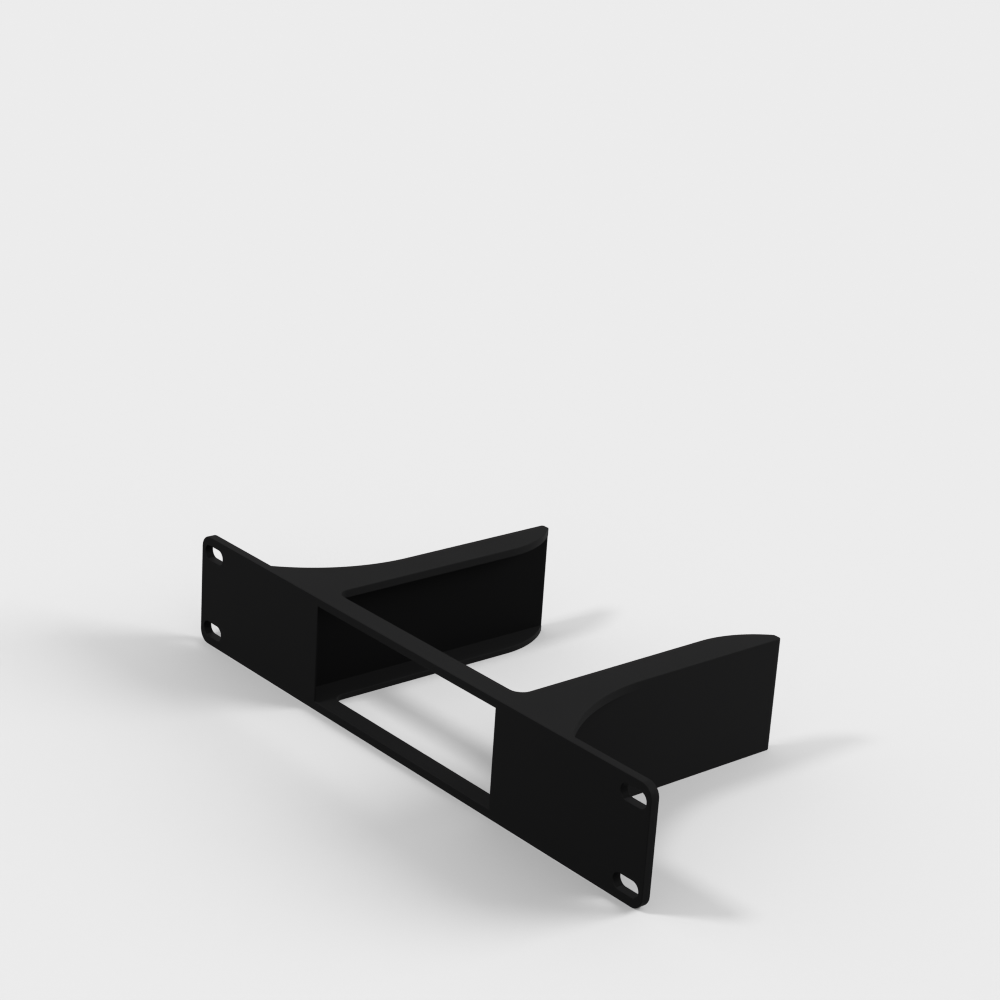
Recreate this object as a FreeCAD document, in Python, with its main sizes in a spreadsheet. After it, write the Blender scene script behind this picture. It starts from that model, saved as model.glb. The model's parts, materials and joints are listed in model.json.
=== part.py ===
import FreeCAD, Part
import math
import os

import Sketcher

# Bracket that carries a small device in a ten-inch rack, one piece.
# +X runs along the panel, +Y from the panel's front to the arms' tips, +Z up.
# The sketches are drawn with the panel's front face at y = 0 and the underside at z = 0.

NODE = "rack_bracket"

# Driving dimensions, in millimetres.
SIZES = {
    # front panel, one rack unit high
    "panel_width": 254.0,
    "panel_height": 44.45,
    "panel_thickness": 3.5,
    "panel_corner_radius": 5.0,
    # fixing slots, placed from the panel's ends and from its long edges
    "slot_end_distance": 8.0,
    "slot_edge_distance": 6.35,
    "slot_length": 12.0,
    "slot_width": 6.0,
    # bay for the device, between the arms' walls and behind the panel's side lips
    "bay_width": 125.0,
    "side_lip": 11.7,
    "sill_height": 3.2,
    "floor_thickness": 2.3,
    "ceiling_thickness": 3.2,
    # arms of channel section, joined at the front by a rail above and below the window
    "arm_wall": 3.5,
    "flange_width": 10.5,
    "rail_depth": 9.0,
    "inner_corner_radius": 5.0,
    "overall_depth": 121.3,
    # gussets: how far they run back along the arm and out along the panel
    "gusset_reach": 49.1,
    "gusset_spread": 19.75,
    # rear ends, where an arc trims both flanges down to the wall
    "trim_reach": 27.0,
    "tip_radius": 1.0,
}

# Places worked out from the driving dimensions, as expressions on the sheet.
HALF_PANEL = "Sizes.panel_width / 2"
HALF_BAY = "Sizes.bay_width / 2"
OUTER_WALL = "Sizes.bay_width / 2 + Sizes.arm_wall"
FLANGE_EDGE = "Sizes.bay_width / 2 - Sizes.flange_width"
HALF_WINDOW = "Sizes.bay_width / 2 - Sizes.side_lip"
CEILING = "Sizes.panel_height - Sizes.ceiling_thickness"
SLOT_ACROSS = "Sizes.panel_width / 2 - Sizes.slot_end_distance"
SLOT_ROWS = ("Sizes.slot_edge_distance", "Sizes.panel_height - Sizes.slot_edge_distance")
SLOT_HALF_RUN = "(Sizes.slot_length - Sizes.slot_width) / 2"

# How a sketch names the points of its curves, its origin and its upright axis.
START, END, CENTRE = 1, 2, 3
ORIGIN = (-1, 1)
UPRIGHT_AXIS = -2


def make_sheet(doc):
    """Write each driving dimension to a cell with its own alias."""
    sheet = doc.addObject("Spreadsheet::Sheet", "Sizes")
    for row, (alias, size) in enumerate(SIZES.items(), start=1):
        sheet.set(f"A{row}", alias)
        sheet.set(f"B{row}", str(size))
        sheet.setAlias(f"B{row}", alias)
    doc.recompute()
    return sheet


def origin_plane(body, role):
    """Find one of the body's own origin planes."""
    return next(plane for plane in body.Origin.OriginFeatures if plane.Role == role)


def new_sketch(body, name, role):
    """Start a sketch on one of the body's origin planes."""
    sketch = body.newObject("Sketcher::SketchObject", name)
    sketch.AttachmentSupport = [(origin_plane(body, role), "")]
    sketch.MapMode = "FlatFace"
    return sketch


def line(sketch, start, end):
    """Draw a line and return its number in the sketch."""
    return sketch.addGeometry(Part.LineSegment(FreeCAD.Vector(*start, 0), FreeCAD.Vector(*end, 0)), False)


def arc(sketch, centre, radius, first, last):
    """Draw an arc, anticlockwise from the first angle to the last, and return its number."""
    circle = Part.Circle(FreeCAD.Vector(*centre, 0), FreeCAD.Vector(0, 0, 1), radius)
    return sketch.addGeometry(Part.ArcOfCircle(circle, first, last), False)


def tie(sketch, kind, *items):
    """Add a constraint that has no size, such as coincident, tangent or horizontal."""
    sketch.addConstraint(Sketcher.Constraint(kind, *items))


def size(sketch, kind, *items):
    """Add a constraint whose size, the last item, is an expression on the sheet."""
    *places, expression = items
    value = sketch.evalExpression(expression)
    number = sketch.addConstraint(Sketcher.Constraint(kind, *places, value))
    sketch.setExpression(f"Constraints[{number}]", expression)


def rectangle(sketch, left, right, low, high):
    """Draw an upright rectangle; each side's place is an expression, measured from the sketch's origin."""
    x0, x1, y0, y1 = (sketch.evalExpression(side) for side in (left, right, low, high))
    corners = [(x0, y0), (x1, y0), (x1, y1), (x0, y1)]
    bottom, right_side, top, left_side = (line(sketch, corners[k], corners[k - 3]) for k in range(4))
    for first, second in ((bottom, right_side), (right_side, top), (top, left_side), (left_side, bottom)):
        tie(sketch, "Coincident", first, END, second, START)
    for side in (bottom, top):
        tie(sketch, "Horizontal", side)
    for side in (right_side, left_side):
        tie(sketch, "Vertical", side)
    size(sketch, "DistanceX", *ORIGIN, bottom, START, left)
    size(sketch, "DistanceX", *ORIGIN, bottom, END, right)
    size(sketch, "DistanceY", *ORIGIN, bottom, START, low)
    size(sketch, "DistanceY", *ORIGIN, top, START, high)
    return bottom, right_side, top, left_side


def slot(sketch, across, up, half_run, width):
    """Draw a level slot with round ends, centred on (across, up)."""
    x, y, run, radius = (sketch.evalExpression(e) for e in (across, up, half_run, f"{width} / 2"))
    right_end = arc(sketch, (x + run, y), radius, -math.pi / 2, math.pi / 2)
    left_end = arc(sketch, (x - run, y), radius, math.pi / 2, 3 * math.pi / 2)
    top = line(sketch, (x + run, y + radius), (x - run, y + radius))
    bottom = line(sketch, (x - run, y - radius), (x + run, y - radius))
    tie(sketch, "Tangent", right_end, END, top, START)
    tie(sketch, "Tangent", top, END, left_end, START)
    tie(sketch, "Tangent", left_end, END, bottom, START)
    tie(sketch, "Tangent", bottom, END, right_end, START)
    tie(sketch, "Horizontal", top)
    size(sketch, "Radius", right_end, f"{width} / 2")
    size(sketch, "DistanceX", *ORIGIN, right_end, CENTRE, f"{across} + {half_run}")
    size(sketch, "DistanceX", *ORIGIN, left_end, CENTRE, f"{across} - {half_run}")
    size(sketch, "DistanceY", *ORIGIN, right_end, CENTRE, up)


def half_plan(sketch):
    """Draw the right half of the bracket behind the panel, seen from above: rail, flange and gusset."""
    outer, wall_inside, inner = (sketch.evalExpression(e) for e in (OUTER_WALL, HALF_BAY, FLANGE_EDGE))
    back, rail, depth = (SIZES[name] for name in ("panel_thickness", "rail_depth", "overall_depth"))
    reach, spread = SIZES["gusset_reach"], SIZES["gusset_spread"]
    gusset_radius = (reach**2 + spread**2) / (2 * spread)
    trim_reach, flange = SIZES["trim_reach"], SIZES["flange_width"]
    trim_radius = (trim_reach**2 + flange**2) / (2 * flange)
    tip, corner = SIZES["tip_radius"], SIZES["inner_corner_radius"]

    behind_panel = line(sketch, (0, back), (outer + spread, back))
    gusset = arc(
        sketch, (outer + gusset_radius, back + reach), gusset_radius,
        math.pi, math.pi + math.asin(reach / gusset_radius),
    )
    wall = line(sketch, (outer, back + reach), (outer, depth - tip))
    tip_corner = arc(sketch, (outer - tip, depth - tip), tip, 0, math.pi / 2)
    tip_end = line(sketch, (outer - tip, depth), (wall_inside, depth))
    trim = arc(
        sketch, (inner + trim_radius, depth - trim_reach), trim_radius,
        math.pi - math.asin(trim_reach / trim_radius), math.pi,
    )
    flange_edge = line(sketch, (inner, depth - trim_reach), (inner, rail + corner))
    inner_corner = arc(sketch, (inner - corner, rail + corner), corner, -math.pi / 2, 0)
    behind_rail = line(sketch, (inner - corner, rail), (0, rail))
    middle = line(sketch, (0, rail), (0, back))

    tie(sketch, "Coincident", behind_panel, END, gusset, END)
    tie(sketch, "Tangent", gusset, START, wall, START)
    tie(sketch, "Tangent", wall, END, tip_corner, START)
    tie(sketch, "Tangent", tip_corner, END, tip_end, START)
    tie(sketch, "Coincident", tip_end, END, trim, START)
    tie(sketch, "Tangent", trim, END, flange_edge, START)
    tie(sketch, "Tangent", flange_edge, END, inner_corner, END)
    tie(sketch, "Tangent", inner_corner, START, behind_rail, START)
    tie(sketch, "Coincident", behind_rail, END, middle, START)
    tie(sketch, "Coincident", middle, END, behind_panel, START)
    for level in (behind_panel, tip_end, behind_rail):
        tie(sketch, "Horizontal", level)
    for upright in (wall, flange_edge):
        tie(sketch, "Vertical", upright)
    for end in (START, END):
        tie(sketch, "PointOnObject", middle, end, UPRIGHT_AXIS)

    size(sketch, "DistanceY", *ORIGIN, behind_panel, START, "Sizes.panel_thickness")
    size(sketch, "DistanceY", *ORIGIN, behind_rail, START, "Sizes.rail_depth")
    size(sketch, "DistanceY", *ORIGIN, tip_end, START, "Sizes.overall_depth")
    size(sketch, "DistanceX", *ORIGIN, wall, START, OUTER_WALL)
    size(sketch, "DistanceX", *ORIGIN, flange_edge, START, FLANGE_EDGE)
    size(sketch, "DistanceY", behind_panel, END, wall, START, "Sizes.gusset_reach")
    size(sketch, "DistanceX", wall, START, behind_panel, END, "Sizes.gusset_spread")
    size(sketch, "DistanceY", flange_edge, START, tip_end, END, "Sizes.trim_reach")
    size(sketch, "DistanceX", *ORIGIN, tip_end, END, HALF_BAY)
    size(sketch, "Radius", tip_corner, "Sizes.tip_radius")
    size(sketch, "Radius", inner_corner, "Sizes.inner_corner_radius")


def make_bracket(doc):
    """Pad the panel and the arms, then cut the channels, the window and the fixing slots."""
    body = doc.addObject("PartDesign::Body", "Bracket")
    body.Label = NODE

    panel_face = new_sketch(body, "PanelFace", "XZ_Plane")
    rectangle(panel_face, f"-({HALF_PANEL})", HALF_PANEL, "0", "Sizes.panel_height")
    panel = body.newObject("PartDesign::Pad", "Panel")
    panel.Profile = panel_face
    panel.Reversed = True
    panel.setExpression("Length", "Sizes.panel_thickness")
    doc.recompute()

    corners = body.newObject("PartDesign::Fillet", "PanelCorners")
    corners.Base = (panel, edges_along(panel.Shape, FreeCAD.Vector(0, 1, 0)))
    corners.setExpression("Radius", "Sizes.panel_corner_radius")

    plan = new_sketch(body, "HalfPlan", "XY_Plane")
    half_plan(plan)
    right_arm = body.newObject("PartDesign::Pad", "RightArm")
    right_arm.Profile = plan
    right_arm.setExpression("Length", "Sizes.panel_height")
    doc.recompute()

    both_arms = body.newObject("PartDesign::Mirrored", "BothArms")
    both_arms.Originals = [right_arm]
    both_arms.MirrorPlane = (origin_plane(body, "YZ_Plane"), [""])
    body.Tip = both_arms
    doc.recompute()

    section = new_sketch(body, "ChannelSection", "XZ_Plane")
    section.setExpression("AttachmentOffset.Base.z", "-Sizes.panel_thickness")
    rectangle(section, f"-({HALF_BAY})", HALF_BAY, "Sizes.floor_thickness", CEILING)
    rectangle(section, OUTER_WALL, HALF_PANEL, "Sizes.floor_thickness", CEILING)
    rectangle(section, f"-({HALF_PANEL})", f"-({OUTER_WALL})", "Sizes.floor_thickness", CEILING)
    channels = body.newObject("PartDesign::Pocket", "Channels")
    channels.Profile = section
    channels.setExpression("Length", "Sizes.overall_depth - Sizes.panel_thickness")
    doc.recompute()

    window_face = new_sketch(body, "WindowFace", "XZ_Plane")
    rectangle(window_face, f"-({HALF_WINDOW})", HALF_WINDOW, "Sizes.sill_height", CEILING)
    window = body.newObject("PartDesign::Pocket", "Window")
    window.Profile = window_face
    window.setExpression("Length", "Sizes.panel_thickness")
    doc.recompute()

    slot_face = new_sketch(body, "SlotFace", "XZ_Plane")
    for row in SLOT_ROWS:
        for across in (SLOT_ACROSS, f"-({SLOT_ACROSS})"):
            slot(slot_face, across, row, SLOT_HALF_RUN, "Sizes.slot_width")
    slots = body.newObject("PartDesign::Pocket", "FixingSlots")
    slots.Profile = slot_face
    slots.setExpression("Length", "Sizes.panel_thickness")

    body.setExpression("Placement.Base.y", "-Sizes.overall_depth / 2")
    body.Tip = slots
    doc.recompute()
    return body


def edges_along(shape, direction):
    """Name the straight edges of a shape that run along a direction."""
    names = []
    for number, edge in enumerate(shape.Edges, start=1):
        along = edge.tangentAt(edge.FirstParameter)
        if isinstance(edge.Curve, Part.Line) and abs(along.dot(direction)) > 0.999:
            names.append(f"Edge{number}")
    return names


def check(doc, body):
    """Stop if anything in the document failed, or if the bracket isn't one sound solid."""
    failed = [item.Name for item in doc.Objects if {"Invalid", "Error"} & set(item.State)]
    if failed:
        raise RuntimeError(f"failed: {failed}")
    if body.Shape.isNull() or not body.Shape.isValid() or len(body.Shape.Solids) != 1:
        raise RuntimeError(f"{body.Label} is not one valid solid")


def main():
    doc = FreeCAD.newDocument("RackBracket")
    make_sheet(doc)
    body = make_bracket(doc)
    check(doc, body)
    os.makedirs("parts", exist_ok=True)
    body.Shape.exportStep(f"parts/{body.Label}.step")
    box = body.Shape.BoundBox
    print(f"{body.Label}: {box.XLength:.2f} x {box.YLength:.2f} x {box.ZLength:.2f} mm, "
          f"{body.Shape.Volume / 1000:.2f} cm3, y from {box.YMin:.2f}")


main()
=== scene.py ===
import json
import math

import bmesh
import bpy
from mathutils import Matrix, Vector


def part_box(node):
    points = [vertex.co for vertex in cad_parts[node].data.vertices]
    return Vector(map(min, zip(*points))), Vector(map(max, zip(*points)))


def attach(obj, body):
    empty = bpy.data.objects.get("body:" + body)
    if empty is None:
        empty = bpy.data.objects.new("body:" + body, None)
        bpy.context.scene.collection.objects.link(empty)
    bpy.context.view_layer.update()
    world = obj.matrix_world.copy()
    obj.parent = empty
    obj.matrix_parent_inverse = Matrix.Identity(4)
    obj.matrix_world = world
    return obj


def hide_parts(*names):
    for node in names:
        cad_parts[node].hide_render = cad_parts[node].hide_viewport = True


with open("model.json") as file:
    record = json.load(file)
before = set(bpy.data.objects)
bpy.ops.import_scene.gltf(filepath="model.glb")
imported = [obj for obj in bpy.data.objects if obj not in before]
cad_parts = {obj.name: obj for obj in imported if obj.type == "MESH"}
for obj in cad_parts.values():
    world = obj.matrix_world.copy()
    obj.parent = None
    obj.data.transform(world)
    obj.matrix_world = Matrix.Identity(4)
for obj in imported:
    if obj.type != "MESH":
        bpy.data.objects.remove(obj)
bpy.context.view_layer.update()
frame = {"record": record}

# A rack bracket in matte black plastic: a slotted panel with a window, and two arms of channel section.
# Metres, in the part's own frame: +X along the panel, +Y from its front to the arms' tips, +Z up.
MM = 0.001
NODE = "rack_bracket"

# The outer size comes from the frame, and the fixing slots from the mount that bolts to the rack.
low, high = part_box(NODE)
half_panel, front, tip, top = high.x, low.y, high.y, high.z
slots = next(mount for mount in frame["record"]["mounts"] if mount["name"] == "rack_slots")
slot_middle = Vector(slots["pos_m"])
slot_radius = slots["dims"]["hole_r_mm"] * MM
slot_half_run = slots["dims"]["slot_length_mm"] * MM / 2 - slot_radius
slot_across = slots["dims"]["spacing_x_mm"] * MM / 2
slot_up = slots["dims"]["spacing_y_mm"] * MM / 2

# The bracket's other sizes.
panel_thickness = 3.5 * MM
panel_corner = 5.0 * MM
half_bay = 62.5 * MM
lip_width = 11.7 * MM
lip_thickness = 0.8 * MM
sill_height = 3.2 * MM
floor_thickness = 2.3 * MM
ceiling_thickness = 3.2 * MM
arm_wall = 3.5 * MM
flange_width = 10.5 * MM
rail_depth = 9.0 * MM
inner_corner = 5.0 * MM
gusset_reach = 49.1 * MM
gusset_spread = 19.75 * MM
trim_reach = 27.0 * MM
tip_radius = 1.0 * MM
edge_radius = 0.25 * MM

# Places that follow from them.
panel_back = front + panel_thickness
lip_back = front + lip_thickness
rail_back = front + rail_depth
outer_wall = half_bay + arm_wall
flange_edge = half_bay - flange_width
half_window = half_bay - lip_width
ceiling = top - ceiling_thickness

# How finely round stretches are drawn, what counts as a sharp edge or as flat, how near counts as touching,
# and how far a cutter runs on into the open.
LARGE_ARC_STEPS = 40
CORNER_STEPS = 16
SLOT_STEPS = 32
TIP_STEPS = 8
EDGE_STEPS = 3
SHARP = math.radians(30)
FLAT = math.radians(0.1)
TOUCH = 0.005 * MM
BEYOND = 10 * MM

# The plastic's range of tones outside the openings, and a darker tone on upright faces inside them, which
# is painted shade.
DARKER_BLACK = (0.0118, 0.0118, 0.0120, 1)
LIGHTER_BLACK = (0.0134, 0.0134, 0.0136, 1)
PAINTED_SHADE_BLACK = (0.0052, 0.0052, 0.0053, 1)

# Its sheen, the clouds that vary tone and roughness, and the grain. Scales are in features per metre.
SHEEN = 0.01
SMOOTHEST = 0.45
ROUGHEST = 0.55
CLOUD_SCALE = 28
CLOUD_DETAIL = 3
CLOUD_LOW = 0.3
CLOUD_HIGH = 0.7
GRAIN_SCALE = 3200
GRAIN_DETAIL = 2
GRAIN_STRENGTH = 0.12
GRAIN_DEPTH = 0.03 * MM

# How much of a slot's half height its upright end takes up, short of the level sides, for the painted shade
# on the slots' ends.
SLOT_END_SHARE = 0.92

# The level at which floor and surround are seen, the floor's tone for other light, and its width.
PALE = 0.84
FLOOR_BOUNCE = 0.02
FLOOR_WIDTH = 8


# Drawing and cutting

def begin(name, point):
    """A new mesh in edit mode that is one vertex, the pen, at a point."""
    bpy.ops.object.select_all(action="DESELECT")
    bpy.ops.mesh.primitive_plane_add(size=MM, enter_editmode=True)
    bpy.context.object.name = name
    bpy.ops.mesh.select_mode(type="VERT")
    bpy.ops.mesh.select_all(action="SELECT")
    bpy.ops.mesh.merge(type="CENTER")
    bpy.ops.transform.translate(value=point)


def line_to(point):
    """Extrude the pen in a straight line."""
    mesh = bmesh.from_edit_mesh(bpy.context.object.data)
    pen = next(vertex.co for vertex in mesh.verts if vertex.select)
    bpy.ops.mesh.extrude_region_move(TRANSFORM_OT_translate={"value": Vector(point) - pen})


def arc_about(centre, turn, steps, axis=(0, 0, 1)):
    """Sweep the pen round a centre by an angle, anticlockwise seen from the axis's far end."""
    # With no window, spin turns the other way.
    bpy.ops.mesh.spin(steps=steps, angle=-turn, center=centre, axis=axis)


def fill_and_extrude(along):
    """Close the outline with a face, draw it out into a solid and leave edit mode."""
    bpy.ops.mesh.select_all(action="SELECT")
    bpy.ops.mesh.remove_doubles(threshold=TOUCH)
    bpy.ops.mesh.edge_face_add()
    bpy.ops.mesh.extrude_region_move(TRANSFORM_OT_translate={"value": along})
    bpy.ops.mesh.select_all(action="SELECT")
    bpy.ops.mesh.normals_make_consistent(inside=False)
    bpy.ops.object.mode_set(mode="OBJECT")
    return bpy.context.object


def block(name, corner, opposite):
    """A box between two corners, from a cube that is stretched in edit mode."""
    bpy.ops.object.select_all(action="DESELECT")
    bpy.ops.mesh.primitive_cube_add(size=1, enter_editmode=True)
    bpy.context.object.name = name
    size = Vector(opposite) - Vector(corner)
    bpy.ops.transform.resize(value=size, center_override=(0, 0, 0))
    bpy.ops.transform.translate(value=(Vector(corner) + Vector(opposite)) / 2)
    bpy.ops.object.mode_set(mode="OBJECT")
    return bpy.context.object


def cut(piece, cutter):
    """Take one solid away from another."""
    away = piece.modifiers.new("cut", "BOOLEAN")
    away.operation = "DIFFERENCE"
    away.solver = "EXACT"
    away.object = cutter
    bpy.context.view_layer.objects.active = piece
    bpy.ops.object.modifier_apply(modifier=away.name)
    bpy.data.objects.remove(cutter)


def select_edges(piece, wanted):
    """In edit mode, select only the edges that pass a test."""
    bpy.ops.mesh.select_mode(type="EDGE")
    bpy.ops.mesh.select_all(action="DESELECT")
    mesh = bmesh.from_edit_mesh(piece.data)
    for edge in mesh.edges:
        edge.select_set(wanted(edge))
    bmesh.update_edit_mesh(piece.data)


# The bracket

def plan_solid():
    """The outline from above, drawn for the right half, mirrored and drawn up to the bracket's height."""
    gusset_radius = (gusset_reach**2 + gusset_spread**2) / (2 * gusset_spread)
    gusset_turn = math.asin(gusset_reach / gusset_radius)
    trim_radius = (trim_reach**2 + flange_width**2) / (2 * flange_width)
    trim_turn = math.asin(trim_reach / trim_radius)

    begin("bracket", (0, front, 0))
    line_to((half_panel, front, 0))
    line_to((half_panel, panel_back, 0))
    line_to((outer_wall + gusset_spread, panel_back, 0))
    arc_about((outer_wall + gusset_radius, panel_back + gusset_reach, 0), -gusset_turn, LARGE_ARC_STEPS)
    line_to((outer_wall, tip - tip_radius, 0))
    arc_about((outer_wall - tip_radius, tip - tip_radius, 0), math.pi / 2, TIP_STEPS)
    line_to((half_bay, tip, 0))
    arc_about((flange_edge + trim_radius, tip - trim_reach, 0), trim_turn, LARGE_ARC_STEPS)
    line_to((flange_edge, rail_back + inner_corner, 0))
    arc_about((flange_edge - inner_corner, rail_back + inner_corner, 0), -math.pi / 2, CORNER_STEPS)
    line_to((0, rail_back, 0))

    bpy.ops.mesh.select_all(action="SELECT")
    bpy.ops.mesh.symmetrize(direction="POSITIVE_X", threshold=TOUCH)
    return fill_and_extrude((0, 0, top))


def round_panel_corners(piece):
    """Round the four corners that the panel shows from the front."""
    def at_end(edge):
        first, second = (vertex.co for vertex in edge.verts)
        beside = all(abs(abs(place.x) - half_panel) < TOUCH for place in (first, second))
        return beside and abs(first.z - second.z) < TOUCH

    bpy.ops.object.mode_set(mode="EDIT")
    select_edges(piece, at_end)
    bpy.ops.mesh.bevel(offset=panel_corner, segments=CORNER_STEPS, affect="EDGES", clamp_overlap=False)
    bpy.ops.object.mode_set(mode="OBJECT")


def cut_channels(piece):
    """Hollow out the bay between the arms, up to a thin lip in front, and the recess outside each arm."""
    behind = tip + BEYOND
    cut(piece, block("bay", (-half_bay, lip_back, floor_thickness), (half_bay, behind, ceiling)))
    for side in (-1, 1):
        inside, outside = side * outer_wall, side * (half_panel + BEYOND)
        near, far = min(inside, outside), max(inside, outside)
        cut(piece, block("recess", (near, panel_back, floor_thickness), (far, behind, ceiling)))


def cut_window(piece):
    """Open the panel in front of the bay, above its sill."""
    before, within = front - BEYOND, panel_back + BEYOND
    cut(piece, block("window", (-half_window, before, sill_height), (half_window, within, ceiling)))


def cut_slots(piece):
    """Cut the four level fixing slots with their round ends."""
    start, through = front - BEYOND, panel_thickness + 2 * BEYOND
    for side in (-1, 1):
        for level in (-1, 1):
            x = slot_middle.x + side * slot_across
            z = slot_middle.z + level * slot_up
            begin("slot", (x - slot_half_run, start, z - slot_radius))
            line_to((x + slot_half_run, start, z - slot_radius))
            arc_about((x + slot_half_run, start, z), -math.pi, SLOT_STEPS, axis=(0, 1, 0))
            line_to((x - slot_half_run, start, z + slot_radius))
            arc_about((x - slot_half_run, start, z), -math.pi, SLOT_STEPS, axis=(0, 1, 0))
            cut(piece, fill_and_extrude((0, through, 0)))


def soften_edges(piece):
    """Break the outward edges a little, as a mould or a print leaves them, and keep the flats flat."""
    def thins_out(edge):
        """A gusset's rim on the recess's side, which thins to nothing where the gusset meets the wall."""
        def on_rim(place):
            beside = abs(place.x) > outer_wall - TOUCH and place.y > panel_back - TOUCH
            return beside and min(abs(place.z - ceiling), abs(place.z - floor_thickness)) < TOUCH

        return all(on_rim(vertex.co) for vertex in edge.verts)

    def to_break(edge):
        return edge.is_convex and edge.calc_face_angle(0) > SHARP and not thins_out(edge)

    # The cuts leave slivers and split flats, which go before the edges are chosen.
    bpy.ops.object.mode_set(mode="EDIT")
    bpy.ops.mesh.select_all(action="SELECT")
    bpy.ops.mesh.remove_doubles(threshold=TOUCH)
    bpy.ops.mesh.dissolve_degenerate(threshold=TOUCH)
    bpy.ops.mesh.dissolve_limited(angle_limit=FLAT)
    bpy.ops.mesh.normals_make_consistent(inside=False)

    select_edges(piece, to_break)
    bpy.ops.mesh.bevel(
        offset=edge_radius, segments=EDGE_STEPS, affect="EDGES", loop_slide=False, clamp_overlap=False
    )
    bpy.ops.object.mode_set(mode="OBJECT")
    bpy.ops.object.shade_smooth_by_angle(angle=SHARP)
    flats = piece.modifiers.new("flats", "WEIGHTED_NORMAL")
    flats.keep_sharp = True
    bpy.ops.object.modifier_apply(modifier=flats.name)


bracket = plan_solid()
round_panel_corners(bracket)
cut_channels(bracket)
cut_window(bracket)
cut_slots(bracket)
soften_edges(bracket)


# The plastic

def black_plastic():
    """Matte black plastic, finely grained and unevenly matte, with painted shade darkening upright faces in
    the openings.
    """
    material = bpy.data.materials.new("black_plastic")
    material.use_nodes = True
    nodes, links = material.node_tree.nodes, material.node_tree.links
    shader = nodes["Principled BSDF"]
    shader.inputs["Specular IOR Level"].default_value = SHEEN
    place = nodes.new("ShaderNodeTexCoord").outputs["Object"]
    axes = nodes.new("ShaderNodeSeparateXYZ")
    links.new(place, axes.inputs["Vector"])

    def noise(scale, detail):
        texture = nodes.new("ShaderNodeTexNoise")
        texture.inputs["Scale"].default_value = scale
        texture.inputs["Detail"].default_value = detail
        links.new(place, texture.inputs["Vector"])
        return texture.outputs["Fac"]

    def spread(share, start, end):
        span = nodes.new("ShaderNodeMapRange")
        span.inputs["From Min"].default_value = CLOUD_LOW
        span.inputs["From Max"].default_value = CLOUD_HIGH
        span.inputs["To Min"].default_value = start
        span.inputs["To Max"].default_value = end
        links.new(share, span.inputs["Value"])
        return span.outputs["Result"]

    def maths(operation, *values):
        node = nodes.new("ShaderNodeMath")
        node.operation = operation
        for socket, value in zip(node.inputs, values):
            if isinstance(value, float):
                socket.default_value = value
            else:
                links.new(value, socket)
        return node.outputs["Value"]

    def distance(coordinate, point):
        return maths("ABSOLUTE", maths("SUBTRACT", coordinate, point))

    def within(coordinate, start, end):
        return maths("COMPARE", coordinate, (start + end) / 2, (end - start) / 2)

    def all_of(first, second, third):
        return maths("MULTIPLY", maths("MULTIPLY", first, second), third)

    def blend(share, plain, other):
        mix = nodes.new("ShaderNodeMix")
        mix.data_type = "RGBA"
        links.new(share, mix.inputs["Factor"])
        for name, colour in (("A", plain), ("B", other)):
            if isinstance(colour, tuple):
                mix.inputs[name].default_value = colour
            else:
                links.new(colour, mix.inputs[name])
        return mix.outputs["Result"]

    # Painted shade: upright faces inside the bay and at the slots' ends, told by their place on the
    # bracket, are coloured darker as if little light reached them.
    from_middle = maths("ABSOLUTE", axes.outputs["X"])
    from_slot_line = distance(distance(axes.outputs["Z"], slot_middle.z), slot_up)
    bay_wall_shade = all_of(
        within(from_middle, half_window - edge_radius, half_bay + TOUCH),
        within(axes.outputs["Y"], front + edge_radius, tip - edge_radius),
        within(axes.outputs["Z"], floor_thickness + TOUCH, ceiling - TOUCH),
    )
    slot_end_shade = all_of(
        within(distance(from_middle, slot_across), slot_half_run, slot_half_run + slot_radius + TOUCH),
        within(axes.outputs["Y"], front + edge_radius, panel_back - edge_radius),
        within(from_slot_line, -TOUCH, SLOT_END_SHARE * slot_radius),
    )
    # Where the painted shade goes: the darker colour stands in for shade on these faces.
    inside = maths("MAXIMUM", bay_wall_shade, slot_end_shade)

    cloud = noise(CLOUD_SCALE, CLOUD_DETAIL)
    shown = blend(cloud, DARKER_BLACK, LIGHTER_BLACK)
    links.new(blend(inside, shown, PAINTED_SHADE_BLACK), shader.inputs["Base Color"])
    links.new(spread(cloud, SMOOTHEST, ROUGHEST), shader.inputs["Roughness"])

    bump = nodes.new("ShaderNodeBump")
    bump.inputs["Strength"].default_value = GRAIN_STRENGTH
    bump.inputs["Distance"].default_value = GRAIN_DEPTH
    links.new(noise(GRAIN_SCALE, GRAIN_DETAIL), bump.inputs["Height"])
    links.new(bump.outputs["Normal"], shader.inputs["Normal"])
    return material


bracket.data.materials.clear()
bracket.data.materials.append(black_plastic())
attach(bracket, "root")
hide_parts(NODE)


# Floor, light and camera

def seen_directly(tree):
    """1 for what is seen, straight, in a gloss or through glass, and 0 for light that is scattered."""
    path = tree.nodes.new("ShaderNodeLightPath")
    seen = path.outputs["Is Camera Ray"]
    for kind in ("Is Glossy Ray", "Is Transmission Ray"):
        either = tree.nodes.new("ShaderNodeMath")
        either.operation = "MAXIMUM"
        tree.links.new(seen, either.inputs[0])
        tree.links.new(path.outputs[kind], either.inputs[1])
        seen = either.outputs["Value"]
    return seen


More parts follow.
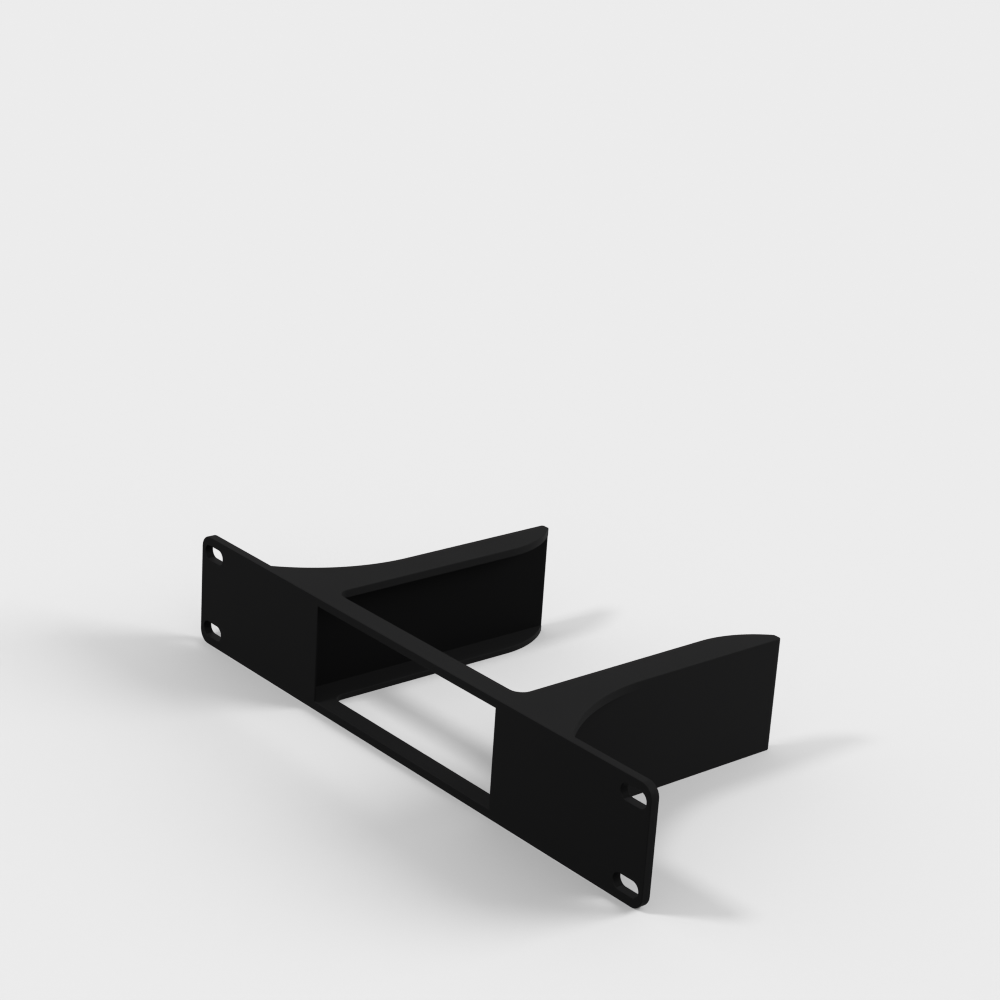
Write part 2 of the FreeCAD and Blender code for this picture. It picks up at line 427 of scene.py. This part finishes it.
def pale_floor():
    """A wide floor at the bracket's underside, pale where it is seen, that throws little light back up."""
    bpy.ops.object.select_all(action="DESELECT")
    bpy.ops.mesh.primitive_plane_add(size=FLOOR_WIDTH)
    floor = bpy.context.object
    floor.name = "floor"
    material = bpy.data.materials.new("pale_floor")
    material.use_nodes = True
    nodes, links = material.node_tree.nodes, material.node_tree.links
    shader = nodes["Principled BSDF"]
    shader.inputs["Roughness"].default_value = 1.0
    shader.inputs["Specular IOR Level"].default_value = 0.0
    tone = nodes.new("ShaderNodeMix")
    tone.data_type = "RGBA"
    tone.inputs["A"].default_value = (FLOOR_BOUNCE, FLOOR_BOUNCE, FLOOR_BOUNCE, 1)
    tone.inputs["B"].default_value = (PALE, PALE, PALE, 1)
    links.new(seen_directly(material.node_tree), tone.inputs["Factor"])
    links.new(tone.outputs["Result"], shader.inputs["Base Color"])
    floor.data.materials.append(material)
    floor.is_shadow_catcher = True


def soft_lamp(name, place, radius, watts):
    """A round soft box that faces the bracket."""
    lamp = bpy.data.lights.new(name, "AREA")
    lamp.shape = "DISK"
    lamp.size = 2 * radius
    lamp.energy = watts
    holder = bpy.data.objects.new(name, lamp)
    holder.location = place
    holder.rotation_euler = (-place).to_track_quat("-Z", "Y").to_euler()
    bpy.context.scene.collection.objects.link(holder)


def pale_surround(seen, horizon, overhead):
    """A surround that is even where it is seen, and whose light falls off from the horizon to overhead."""
    world = bpy.data.worlds.new("surround")
    bpy.context.scene.world = world
    world.use_nodes = True
    nodes, links = world.node_tree.nodes, world.node_tree.links
    background = nodes["Background"]
    background.inputs["Color"].default_value = (1, 1, 1, 1)
    direction = nodes.new("ShaderNodeSeparateXYZ")
    links.new(nodes.new("ShaderNodeTexCoord").outputs["Generated"], direction.inputs["Vector"])
    light = nodes.new("ShaderNodeMapRange")
    light.inputs["To Min"].default_value = horizon
    light.inputs["To Max"].default_value = overhead
    links.new(direction.outputs["Z"], light.inputs["Value"])
    level = nodes.new("ShaderNodeMix")
    level.inputs["B"].default_value = seen
    links.new(light.outputs["Result"], level.inputs["A"])
    links.new(seen_directly(world.node_tree), level.inputs["Factor"])
    links.new(level.outputs["Result"], background.inputs["Strength"])


def photo_camera(place, azimuth, elevation, roll, focal_length):
    """The camera where the photograph was taken from, with its slight roll. The lens is in millimetres."""
    lens = bpy.data.cameras.new("camera")
    lens.sensor_width = 36
    lens.lens = focal_length
    camera = bpy.data.objects.new("camera", lens)
    camera.location = place
    turn = Matrix.Rotation(azimuth, 3, "Z") @ Matrix.Rotation(math.pi / 2 - elevation, 3, "X")
    camera.rotation_euler = (turn @ Matrix.Rotation(roll, 3, "Z")).to_euler()
    bpy.context.scene.collection.objects.link(camera)
    bpy.context.scene.camera = camera


pale_floor()
soft_lamp("front_lamp", place=Vector((-61, -263, 403)) * MM, radius=44 * MM, watts=0.65)
soft_lamp("rear_lamp", place=Vector((343, 437, 349)) * MM, radius=206 * MM, watts=2.87)
pale_surround(seen=PALE, horizon=0.92, overhead=0.21)
photo_camera(
    place=Vector((590.14, -535.29, 377.08)) * MM,
    azimuth=math.radians(48.899),
    elevation=math.radians(20.033),
    roll=math.radians(3.811),
    focal_length=85.186,
)
bpy.context.scene.view_settings.view_transform = "Standard"
